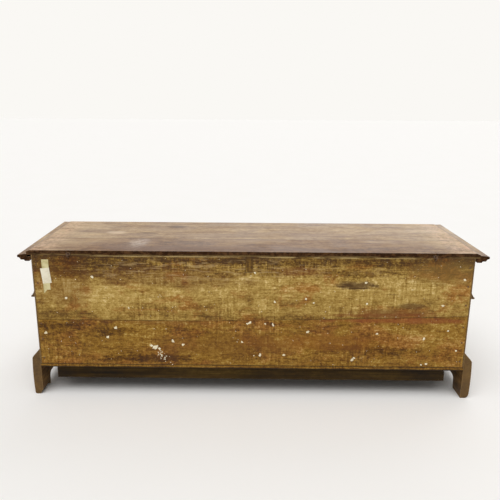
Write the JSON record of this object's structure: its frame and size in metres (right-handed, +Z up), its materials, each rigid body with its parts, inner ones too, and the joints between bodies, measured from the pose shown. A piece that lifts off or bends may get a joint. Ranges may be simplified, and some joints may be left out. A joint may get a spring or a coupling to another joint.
{
  "type": "lidded plank chest",
  "caption": "Long low storage chest of planks with a moulded hinged lid, a middle moulding, a bracket-foot plinth and an inside lock with a sliding bolt.",
  "frame": {"origin": "on the floor, under the middle of the whole chest's bounding box", "axes": "+X runs along the chest to the right of someone facing its front, the front faces -Y, the plank back with the hinges faces +Y, +Z is up"},
  "size_m": [1.7, 0.5564, 0.5725],
  "materials": {
    "case_wood": "old waxed softwood, worn on the edges",
    "back_wood": "bare sawn softwood, stained and dusty",
    "dark_wood": "bare softwood, dark with age",
    "lid_wood": "old planed softwood, worn, with a faint sheen",
    "forged_iron": "hand-forged, brown with old rust",
    "paper_tape": "matt crepe tape",
    "paper_card": "plain matt card"
  },
  "bodies": {
    "chest": {"side_panel_left": "case_wood", "side_panel_right": "case_wood", "front_lower_plank": "case_wood", "front_upper_plank": "case_wood", "back_lower_plank": "back_wood", "back_upper_plank": "back_wood", "back_patch": "back_wood", "bottom_front_board": "back_wood", "bottom_rear_board": "back_wood", "rear_rail": "dark_wood", "plinth_left": "case_wood", "plinth_right": "case_wood", "plinth_front": "case_wood", "corner_block_left": "dark_wood", "corner_block_right": "dark_wood", "mid_moulding_left": "case_wood", "mid_moulding_right": "case_wood", "mid_moulding_front": "case_wood", "chest_hinge_pins": "forged_iron", "lock_case": "forged_iron", "back_nails": "forged_iron", "lock_nails": "forged_iron", "tag_tape": "paper_tape", "tag_card": "paper_card"},
    "lid": {"lid_front_plank": "lid_wood", "lid_rear_plank": "lid_wood", "lid_moulding_left": "lid_wood", "lid_moulding_right": "lid_wood", "lid_moulding_front": "lid_wood", "lid_batten_left": "lid_wood", "lid_batten_right": "lid_wood", "lid_hinge_pins": "forged_iron", "lid_staple": "forged_iron", "batten_nails": "forged_iron", "staple_nails": "forged_iron"},
    "lock_bolt": {"lock_bolt": "forged_iron"}
  },
  "joints": [
    {"name": "lid_hinge", "type": "hinge", "parent": "chest", "child": "lid", "pos_m": [0, 0.27115, 0.555], "axis": [-1, 0, 0], "range_deg": [0, 105]},
    {"name": "bolt_slide", "type": "slide", "parent": "chest", "child": "lock_bolt", "axis": [1, 0, 0], "range_m": [0, 0.016]}
  ]
}
